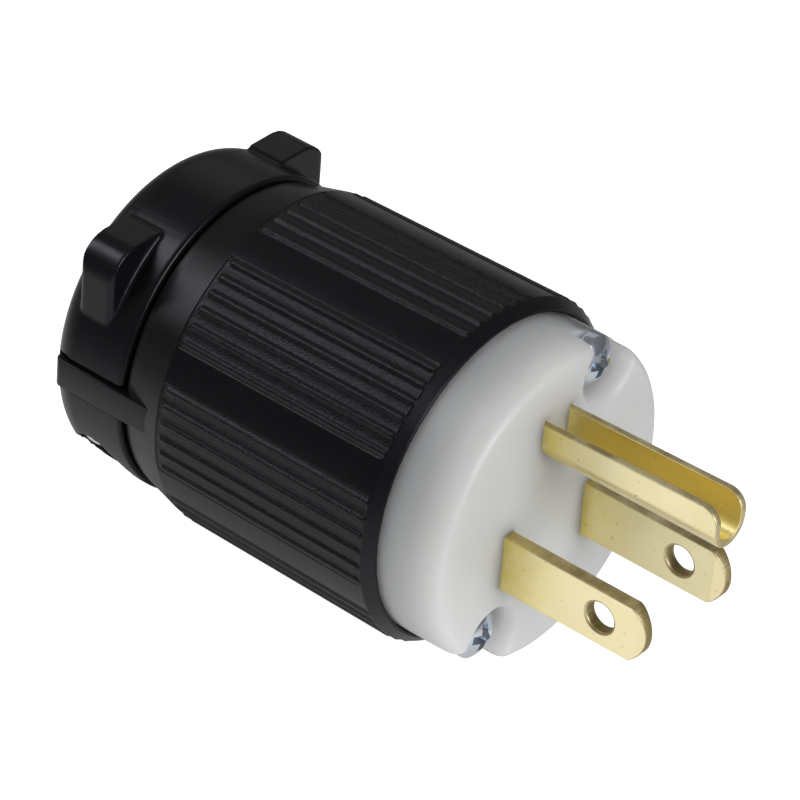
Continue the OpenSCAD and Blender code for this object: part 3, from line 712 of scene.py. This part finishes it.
# %% [markdown]
# ## The white face
# The face is a shallow cup of white nylon with a well rounded front edge, deeper than it is wide. Two round
# notches let the assembly screws in, and their corners are rounded too. The outline is drawn with arcs, so
# its edge can be rounded by insetting rings, as on the plates. A Boolean could cut the notches, but a Bevel
# would then have to follow them. Tight slots let the contacts through.

# %% Face: outline with two notches
FACE_R, FACE_WALL, FACE_END, SKIRT_R = 17.42, 4.2, 11.4, 15.42
NOTCH_R, NOTCH_DEPTH, NOTCH_EASE = 3.4, 3.3, 1.15
RIM_POINTS, WALL_POINTS, CORNER_POINTS = 90, 60, 12


def turn_of(a, b):
    """Direction from point a to point b, in degrees."""
    return math.degrees(math.atan2(b[1] - a[1], b[0] - a[0]))


def notch(turn):
    """Points of one notch: an eased corner, the round wall and the other corner. Also half its opening."""
    ease_r = FACE_R - NOTCH_EASE
    wide = math.acos((SCREW_R ** 2 + ease_r ** 2 - (NOTCH_R + NOTCH_EASE) ** 2) / (2 * SCREW_R * ease_r))
    centre = (SCREW_R * math.cos(turn), SCREW_R * math.sin(turn))
    first, last = [(ease_r * math.cos(turn + s * wide), ease_r * math.sin(turn + s * wide)) for s in (-1, 1)]
    out, back = math.degrees(turn - wide), math.degrees(turn + wide)
    start, end = turn_of(centre, first), turn_of(centre, last)
    leave = turn_of(last, centre)
    corner_in = arc(first, NOTCH_EASE, out, out + (turn_of(first, centre) - out) % 360, CORNER_POINTS)
    wall = arc(centre, NOTCH_R, start, start + (end - start) % 360 - 360, WALL_POINTS)
    corner_out = arc(last, NOTCH_EASE, leave, leave + (back - leave) % 360, CORNER_POINTS)
    return corner_in[1:] + wall[1:] + corner_out[1:-1], wide


def face_outline():
    """All points round the face, and which of them lie in a notch."""
    points, inside = [], []
    for k, turn in enumerate(SCREW_TURNS):
        bite, wide = notch(turn)
        before = SCREW_TURNS[k - 1] + wide - (2 * math.pi if k == 0 else 0)
        rim = arc((0, 0), FACE_R, math.degrees(before), math.degrees(turn - wide), RIM_POINTS)
        points += rim + bite
        inside += [False] * len(rim) + [True] * len(bite)
    return np.array(points), inside


outline, in_notch = face_outline()
print("face outline:", len(outline), "points,", sum(in_notch), "of them in the notches")

# %% Face: slots for the contacts
BLADE_X, BLADE_Z, BLADE_W, BLADE_T = 6.35, -3.23, 6.35, 1.52
EARTH_Z, EARTH_W, EARTH_T, EARTH_EDGE = 8.87, 4.8, 0.8, 11.47
SLOT_GAP = 0.03


def blade_slot(side):
    w, h, x = BLADE_T / 2 + SLOT_GAP, BLADE_W / 2 + SLOT_GAP, side * BLADE_X
    return [(x - w, BLADE_Z - h), (x - w, BLADE_Z + h), (x + w, BLADE_Z + h), (x + w, BLADE_Z - h)]


def earth_slot():
    outer, inner, top = EARTH_W / 2 + SLOT_GAP, EARTH_W / 2 - EARTH_T - SLOT_GAP, EARTH_EDGE + SLOT_GAP
    path = [(-outer, top), (-inner, top)] + arc((0, EARTH_Z), inner, 180, 360, 20)
    return path + [(inner, top), (outer, top)] + arc((0, EARTH_Z), outer, 0, -180, 24)


slots = [np.array(s) for s in (blade_slot(-1), blade_slot(1), earth_slot())]
print("slots with", ", ".join(str(len(s)) for s in slots), "points")


# %% Face: seats in the notches
def close_seat(bm, rim, seat, after, steps=8):
    """Fills the floor of a notch and carries the round rim on across the notch's mouth."""
    start, end = rim[-1].co.copy(), after.co.copy()
    mouth = []
    for k in range(1, steps):
        p = start.lerp(end, k / steps)
        flat = Vector((p.x, 0, p.z)).normalized() * FACE_R * MM
        mouth.append(bm.verts.new((flat.x, start.y, flat.z)))
    bm.faces.new([rim[-1]] + seat + [after] + mouth[::-1])
    rim += mouth


def close_seats(bm, ring):
    """Closes both seats on a ring of the outline, and gives the full round rim."""
    rim, seat = [], []
    for v, inside in zip(ring, in_notch):
        if inside:
            seat.append(v)
            continue
        if seat:
            close_seat(bm, rim, seat, v)
            seat = []
        rim.append(v)
    close_seat(bm, rim, seat, rim[0])
    return rim


print("seats lie", NOTCH_DEPTH, "mm behind the face")

# %% Face: mesh
FACE_EDGE, EDGE_DEPTH, EDGE_RINGS = 1.1, 1.9, 17
# Inset and depth of the rings at the mouth of a slot
SLOT_MOUTH = [(0.08, 0.0), (0.03, 0.03), (0.0, 0.08)]
FACE_BOSS_R, FACE_BOSS_SUNK = 2.45, 0.5


def face_ring(bm, points, depth):
    return [bm.verts.new(Vector((u, depth, v)) * MM) for u, v in points]


def build_face():
    bm = bmesh.new()
    normal = inward(outline)
    rings = [face_ring(bm, outline + normal * FACE_EDGE * (1 - math.sin(a)), EDGE_DEPTH * (1 - math.cos(a)))
             for a in np.linspace(0, math.pi / 2, EDGE_RINGS)]
    rings.append(face_ring(bm, outline, NOTCH_DEPTH))
    walls = [close_seats(bm, rings[-1])]
    for r, d in ((FACE_R, FACE_END), (SKIRT_R, FACE_END), (SKIRT_R, FACE_WALL)):
        walls.append([bm.verts.new(Vector((v.co.x, 0, v.co.z)).normalized() * r * MM + Vector((0, d * MM, 0)))
                      for v in walls[0]])
    join_all(bm, rings)
    join_all(bm, walls)
    front, inner = ring_edges(bm, rings[0]), ring_edges(bm, walls[-1])
    for slot in slots:
        lead = inward(slot)
        sides = [face_ring(bm, slot + lead * inset, d) for inset, d in SLOT_MOUTH + [(0.0, FACE_WALL)]]
        join_all(bm, sides)
        front += ring_edges(bm, sides[0])
        inner += ring_edges(bm, sides[-1])
    fill_flat(bm, front)
    fill_flat(bm, inner)
    return bm


face = build_face()
add_bosses(face, FACE_BOSS_R, FACE_WALL - FACE_BOSS_SUNK, FACE_END)
dress(to_mesh(face, "face_moulding", sharp=35), "white_nylon", "face")

# %% [markdown]
# ## The blades
# A blade is punched from brass sheet: a long tongue with a rounded tip, a countersunk hole, and inside the
# plug a shoulder and a tapped hole. The tip is then coined thinner. A box with a Boolean hole would do from
# afar, but its edges would be too clean. So the mesh is stamped flat, cut across where the coining starts,
# and every point beyond that line moves towards the middle of the sheet. Fingers seldom reach the root, so it
# is more tarnished, and there painted shade and a painted reflection of the white face make it darker and
# more golden too: a mask on the points says how much, and a few more cuts carry the fade.

# %% Blades: outline
TIP_OUT, TIP_R, TIP_CENTRE = 17.5, 3.645, 13.855
TAIL, SHOULDER_FRONT, SHOULDER_BACK, SHOULDER_STEP = 17.4, 4.2, 5.8, 0.9


def blade_outline():
    half, wide = BLADE_W / 2, BLADE_W / 2 + SHOULDER_STEP
    lower = [(-TAIL, -half), (-SHOULDER_BACK, -half), (-SHOULDER_BACK, -wide), (-SHOULDER_FRONT, -wide),
             (-SHOULDER_FRONT, -half)]
    reach = math.degrees(math.asin(half / TIP_R))
    return lower + arc((TIP_CENTRE, 0), TIP_R, -reach, reach, 40) + [(u, -v) for u, v in reversed(lower)]


print("a blade is", TIP_OUT + TAIL, "mm long")

# %% Contacts: stain, painted shade and painted glow
ROOT_REACH, ROOT_STRIPS = 9 * MM, 5
# Stain everywhere, the stain and painted shade added at the root, and how fast that fades
STAIN_OUT, ROOT_STAIN_AND_SHADE, ROOT_FADE = 0.12, 1.3, 1.5


def masked_bmesh():
    """A new bmesh with room for two masks on its points."""
    bm = bmesh.new()
    for mask in ("stain", "fold_glow"):
        bm.verts.layers.float.new(mask)
    return bm


def cut_across(bm, point, normal):
    """Splits all faces along a plane and gives the new edges."""
    made = bmesh.ops.bisect_plane(bm, geom=bm.verts[:] + bm.edges[:] + bm.faces[:], plane_co=point,
                                  plane_no=normal)
    return [e for e in made["geom_cut"] if isinstance(e, bmesh.types.BMEdge)]


def cut_root(bm):
    """Splits the root of a contact into strips, so that its stain and painted shade can fade."""
    for k in range(ROOT_STRIPS + 1):
        cut_across(bm, (0, -k / ROOT_STRIPS * ROOT_REACH, 0), (0, 1, 0))


def store_stain_shade_and_glow(bm, inside=()):
    """Stores the stain and painted shade, strong at the root, and the painted glow inside a fold."""
    stain, fold_glow = bm.verts.layers.float["stain"], bm.verts.layers.float["fold_glow"]
    for v in bm.verts:
        v[stain] = STAIN_OUT + ROOT_STAIN_AND_SHADE * max(0.0, 1 + v.co.y / ROOT_REACH) ** ROOT_FADE
    for v in inside:
        v[fold_glow] = 1.0


print("the stain fades over", round(ROOT_REACH / MM, 1), "mm")

# %% Blades: mesh
LEAD, THINNING, TIP_TEAR = 1.4, 0.56, 0.5
HOLE_OUT, HOLE_R, HOLE_EASE = 12.0, 1.65, 0.28
TERMINAL_DEPTH, TAP_R, SHEET_EDGE = 13.4, 1.65, 0.1


def coin_tip(bm, middle):
    """Thins the tip towards the middle of the sheet, with a crease where that starts."""
    line = (LEAD - TIP_OUT) * MM
    for e in cut_across(bm, (0, line, 0), (0, 1, 0)):
        e.smooth = False
    for v in bm.verts:
        share = max(0.0, (line - v.co.y) / (LEAD * MM))
        v.co.x = middle + (v.co.x - middle) * (1 - share * THINNING / BLADE_T)


def build_blade(side):
    bm = masked_bmesh()
    holes = [(ring_of((HOLE_OUT, 0), HOLE_R, 48, -1), HOLE_EASE),
             (ring_of((-TERMINAL_DEPTH, 0), TAP_R, 32, -1), SHEET_EDGE)]
    stamp(bm, [(blade_outline(), SHEET_EDGE)] + holes,
          lambda u, v, w: Vector((side * BLADE_X + w, -u, BLADE_Z + v)) * MM, -BLADE_T / 2, BLADE_T / 2)
    coin_tip(bm, side * BLADE_X * MM)
    cut_root(bm)
    cut = bm.faces.layers.float["cut_edge"]
    for f in bm.faces:
        if f[cut] and f.calc_center_median().y < -TIP_CENTRE * MM:
            f[cut] += TIP_TEAR
    store_stain_shade_and_glow(bm)
    return bm


for name, side in (("neutral_blade", -1), ("line_blade", 1)):
    dress(to_mesh(build_blade(side), name + "_sheet", sharp=32), "brass", name)

# %% [markdown]
# ## The earth pin
# The earth pin starts as a flat stamped sheet and is folded to a U over a rod. The mesh is made the same way:
# stamped flat, cut into strips where it will bend, then folded point by point. Shading and edges follow the
# bend for free, which they wouldn't if the U were extruded from its section. Inside the fold the brass is
# painted a brighter gold, a painted glow for the light that bounces between its walls; a second mask on the
# points marks it.

# %% Earth pin: fold
PIN_OUT, PIN_BACK, PIN_CORNER, PIN_SLOPE = 20.9, 5.8, 1.9, 0.45
PIN_R = (EARTH_W - EARTH_T) / 2
BEND = math.pi / 2 * PIN_R
SHEET_HALF = BEND + EARTH_EDGE - EARTH_Z


def fold(point):
    """Bends a point of the flat sheet, whose x runs round the U, about the pin's back. The legs are a little
    lower towards the root."""
    s, w = point.x / MM, point.z / MM
    turn = max(-1.0, min(1.0, s / BEND)) * math.pi / 2
    lower = PIN_SLOPE * max(0.0, min(1.0, 1 + point.y / MM / (PIN_OUT - PIN_CORNER)))
    straight = max(0.0, abs(s) - BEND) * (1 - lower / (SHEET_HALF - BEND))
    r = PIN_R + w
    return Vector((r * math.sin(turn) * MM, point.y, (EARTH_Z - r * math.cos(turn) + straight) * MM))


print("the earth pin's sheet is", round(2 * SHEET_HALF, 2), "mm wide when flat")

# %% Earth pin: mesh
FOLD_STRIPS = 8
# Points of the flat sheet below this height come to lie inside the fold
INSIDE_BELOW = -0.35


def build_earth_pin():
    bm = masked_bmesh()
    front, top = PIN_OUT - PIN_CORNER, SHEET_HALF - PIN_CORNER
    sheet = [(-PIN_BACK, -SHEET_HALF)] + arc((front, -top), PIN_CORNER, -90, 0, 12)
    sheet += arc((front, top), PIN_CORNER, 0, 90, 12) + [(-PIN_BACK, SHEET_HALF)]
    stamp(bm, [(sheet, SHEET_EDGE)], lambda u, v, w: Vector((v, -u, w)) * MM, -EARTH_T / 2, EARTH_T / 2)
    for k in range(-FOLD_STRIPS, FOLD_STRIPS + 1):
        cut_across(bm, (k / FOLD_STRIPS * BEND * MM, 0, 0), (1, 0, 0))
    cut_root(bm)
    inner = [v for v in bm.verts if v.co.z < INSIDE_BELOW * MM]
    for v in bm.verts:
        v.co = fold(v.co)
    half, back = EARTH_W / 2 + SHOULDER_STEP, EARTH_Z - EARTH_W / 2
    tab = [(-half, SHOULDER_FRONT), (half, SHOULDER_FRONT), (half, TAIL), (-half, TAIL)]
    stamp(bm, [(tab, SHEET_EDGE), (ring_of((0, TERMINAL_DEPTH), TAP_R, 32, -1), SHEET_EDGE)],
          lambda u, v, w: Vector((u, v, w)) * MM, back, back + EARTH_T)
    store_stain_shade_and_glow(bm, inner)
    return bm


dress(to_mesh(build_earth_pin(), "earth_pin_sheet", sharp=32), "brass", "earth_pin")

# %% [markdown]
# ## The screws
# The screws are cold headed steel with a bright, bluish zinc plating: a domed head with a cross recess, and a
# rolled thread. Head and thread are rings about the axis, the thread's radius waving along a helix. A Screw
# modifier could turn a thread too, but rings also taper it at the tip. The cross is cut out with an exact
# Boolean, because its four corners must be crisp.

# %% Screws: rings
HEAD_H, HEAD_EDGE, DOME, DOME_RINGS, DOME_INSET = 2.4, 0.1, 1.4, 12, 0.12
# How far the rings at the dome's edge lie inside the head's side and below that edge
DOME_ROUND = [(0.035, 0.09), (0.0, 0.2)]
THREAD_PITCH, RINGS_PER_PITCH, THREAD_BITE = 1.0, 6, 0.16
TIP_RINGS, TIP_SHARE, RUN_IN_RINGS = 12, 0.4, 8


def screw_rows(shank_d, head_d, length):
    """Radius, height and thread depth of each ring, from the top of the head to the tip."""
    r, ball = head_d / 2, head_d / 2 * DOME
    rows = [(x, HEAD_H - ball + math.sqrt(ball ** 2 - x ** 2), 0)
            for x in (r - DOME_INSET) * np.arange(1, DOME_RINGS + 1) / DOME_RINGS]
    edge = rows[-1][1]
    rows += [(r - inset, edge - drop, 0) for inset, drop in DOME_ROUND]
    rows += [(r, HEAD_EDGE, 0), (r - HEAD_EDGE, 0, 0), (shank_d / 2, 0, 0)]
    steps = int(length / THREAD_PITCH * RINGS_PER_PITCH)
    for k in range(1, steps):
        taper = min(1.0, TIP_SHARE + (steps - k) / TIP_RINGS)
        bite = THREAD_BITE * shank_d * min(1.0, k / RUN_IN_RINGS)
        rows.append((shank_d / 2 * taper, -length * k / steps, bite))
    return rows


# Shank diameter, head diameter and length
FACE_SCREW, CLAMP_SCREW = (3.0, 5.5, 26.0), (3.0, 6.0, 17.5)
print("screws with", len(screw_rows(*FACE_SCREW)), "and", len(screw_rows(*CLAMP_SCREW)), "rings")


# %% Screws: blanks
def build_blank(shank_d, head_d, length, count=48):
    """A screw without its recess, head up, with the seat of the head at height 0."""
    bm = bmesh.new()
    rings = []
    for r, z, depth in screw_rows(shank_d, head_d, length):
        ring = []
        for i in range(count):
            bite = depth * abs(2 * ((z / THREAD_PITCH - i / count) % 1.0) - 1)
            a = 2 * math.pi * i / count
            ring.append(bm.verts.new(Vector(((r - bite) * math.cos(a), (r - bite) * math.sin(a), z)) * MM))
        rings.append(ring)
    join_all(bm, rings)
    top = bm.verts.new((0, 0, HEAD_H * MM))
    for i in range(count):
        bm.faces.new((top, rings[0][i - 1], rings[0][i]))
    bm.faces.new(rings[-1])
    return to_mesh(bm, "screw_blank")


face_blank, clamp_blank = build_blank(*FACE_SCREW), build_blank(*CLAMP_SCREW)
print("blanks with", len(face_blank.polygons), "and", len(clamp_blank.polygons), "faces")

# %% Screws: cross
CROSS_WIDE, CROSS_DEPTH, CROSS_PROUD = 1.05, 1.7, 0.3
# Half the length of a wing at its bottom and top, in head diameters, and half its width, in full widths
CROSS_SPANS, CROSS_HALVES = (0.12, 0.34), (0.3, 0.5)


def cross_wings(head_d):
    """The driver's cross as two tapered wings."""
    wings = []
    for along in (0, 1):
        bm = bmesh.new()
        rings = []
        for z, span, half in zip((HEAD_H - CROSS_DEPTH, HEAD_H + CROSS_PROUD), CROSS_SPANS, CROSS_HALVES):
            u, v = head_d * span, CROSS_WIDE * half
            corners = [(-u, -v), (u, -v), (u, v), (-u, v)]
            rings.append([bm.verts.new(Vector((x, y, z) if along else (-y, x, z)) * MM) for x, y in corners])
        join_all(bm, rings)
        for ring in rings:
            bm.faces.new(ring)
        wings.append(to_mesh(bm, "cross_wing"))
    return wings


def modified(made):
    """The mesh of an object after its modifiers."""
    bpy.context.view_layer.update()
    return bpy.data.meshes.new_from_object(made.evaluated_get(bpy.context.evaluated_depsgraph_get()))


def carve(mesh, cutters):
    """A copy of a mesh with the cutters taken from it."""
    helpers = [add_object("helper", m) for m in [mesh] + cutters]
    for h in helpers[1:]:
        cut = helpers[0].modifiers.new("cut", "BOOLEAN")
        cut.operation, cut.solver, cut.object = "DIFFERENCE", "EXACT", h
    carved = modified(helpers[0])
    for h in helpers:
        bpy.data.objects.remove(h)
    return carved


face_screw = carve(face_blank, cross_wings(FACE_SCREW[1]))
clamp_screw = carve(clamp_blank, cross_wings(CLAMP_SCREW[1]))
print("carved screws with", len(face_screw.polygons), "and", len(clamp_screw.polygons), "faces")

# %% Screws: copies in place
CLAMP_SEAT, CLAMP_X, CLAMP_DEPTH = 7.1, 12.4, 46.25
CROSS_TURN = math.radians(20)


def screws(name, node, screw, places):
    """Copies of a screw, each put in place by a matrix, as one piece."""
    bm = bmesh.new()
    for place in places:
        copy = screw.copy()
        copy.transform(place)
        bm.from_mesh(copy)
    dress(to_mesh(bm, name, sharp=35), "zinc_steel", node)


screws("assembly_screws", "face_screws", face_screw,
       [Matrix.Translation(Vector((SCREW_R * math.cos(t), NOTCH_DEPTH, SCREW_R * math.sin(t))) * MM)
        @ Matrix.Rotation(math.radians(90), 4, "X") @ Matrix.Rotation(t + CROSS_TURN, 4, "Z")
        for t in SCREW_TURNS])
screws("clamping_screws", "clamp_screws", clamp_screw,
       [Matrix.Translation(Vector((side * CLAMP_X, CLAMP_DEPTH, -CLAMP_SEAT)) * MM)
        @ Matrix.Rotation(math.pi, 4, "X") for side in (-1, 1)])

# %% [markdown]
# ## The cord clamp
# The clamp halves are chunky mouldings with ears, pockets and a small radius on every edge. Their shape is
# already right in CAD, and only the hard edges are wrong. A copy is remeshed in small cubes and smoothed,
# which eases all edges alike, as a mould maker's radius does; a Bevel would struggle where the ears meet the
# ring.

# %% Cord clamp
CUBE, SMOOTHING_ROUNDS = 0.18, 3


def eased_copy(node, name):
    """A copy of a solid, remeshed in cubes and then smoothed."""
    copy = add_object("copy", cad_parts[node].data.copy())
    cubes = copy.modifiers.new("cubes", "REMESH")
    cubes.mode, cubes.voxel_size = "VOXEL", CUBE * MM
    ease = copy.modifiers.new("ease", "SMOOTH")
    ease.factor, ease.iterations = 0.5, SMOOTHING_ROUNDS
    mesh = modified(copy)
    bpy.data.objects.remove(copy)
    mesh.shade_smooth()
    mesh.name = name
    return mesh


for node in ("upper_clamp", "lower_clamp"):
    dress(eased_copy(node, node + "_moulding"), "black_nylon", node)

# %% [markdown]
# ## The pieces inside
# Behind the face sit the terminal block, the pressure plates and the terminal screws. They are hidden when
# the plug is shut, so their CAD solids stay, each in the finish of the real piece: a gold coloured screw for
# line, a silver one for neutral and a green one for earth.

# %% Pieces inside
inside = {"terminal_block": "grey_plastic", "line_plate": "zinc_steel", "neutral_plate": "zinc_steel",
          "earth_plate": "zinc_steel", "line_screw": "brass_screw", "neutral_screw": "nickel_screw",
          "earth_screw": "green_screw"}
for node, slot in inside.items():
    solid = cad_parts[node]
    solid.data.materials.clear()
    solid.data.materials.append(finish[slot])
print(len(inside), "solids dressed")
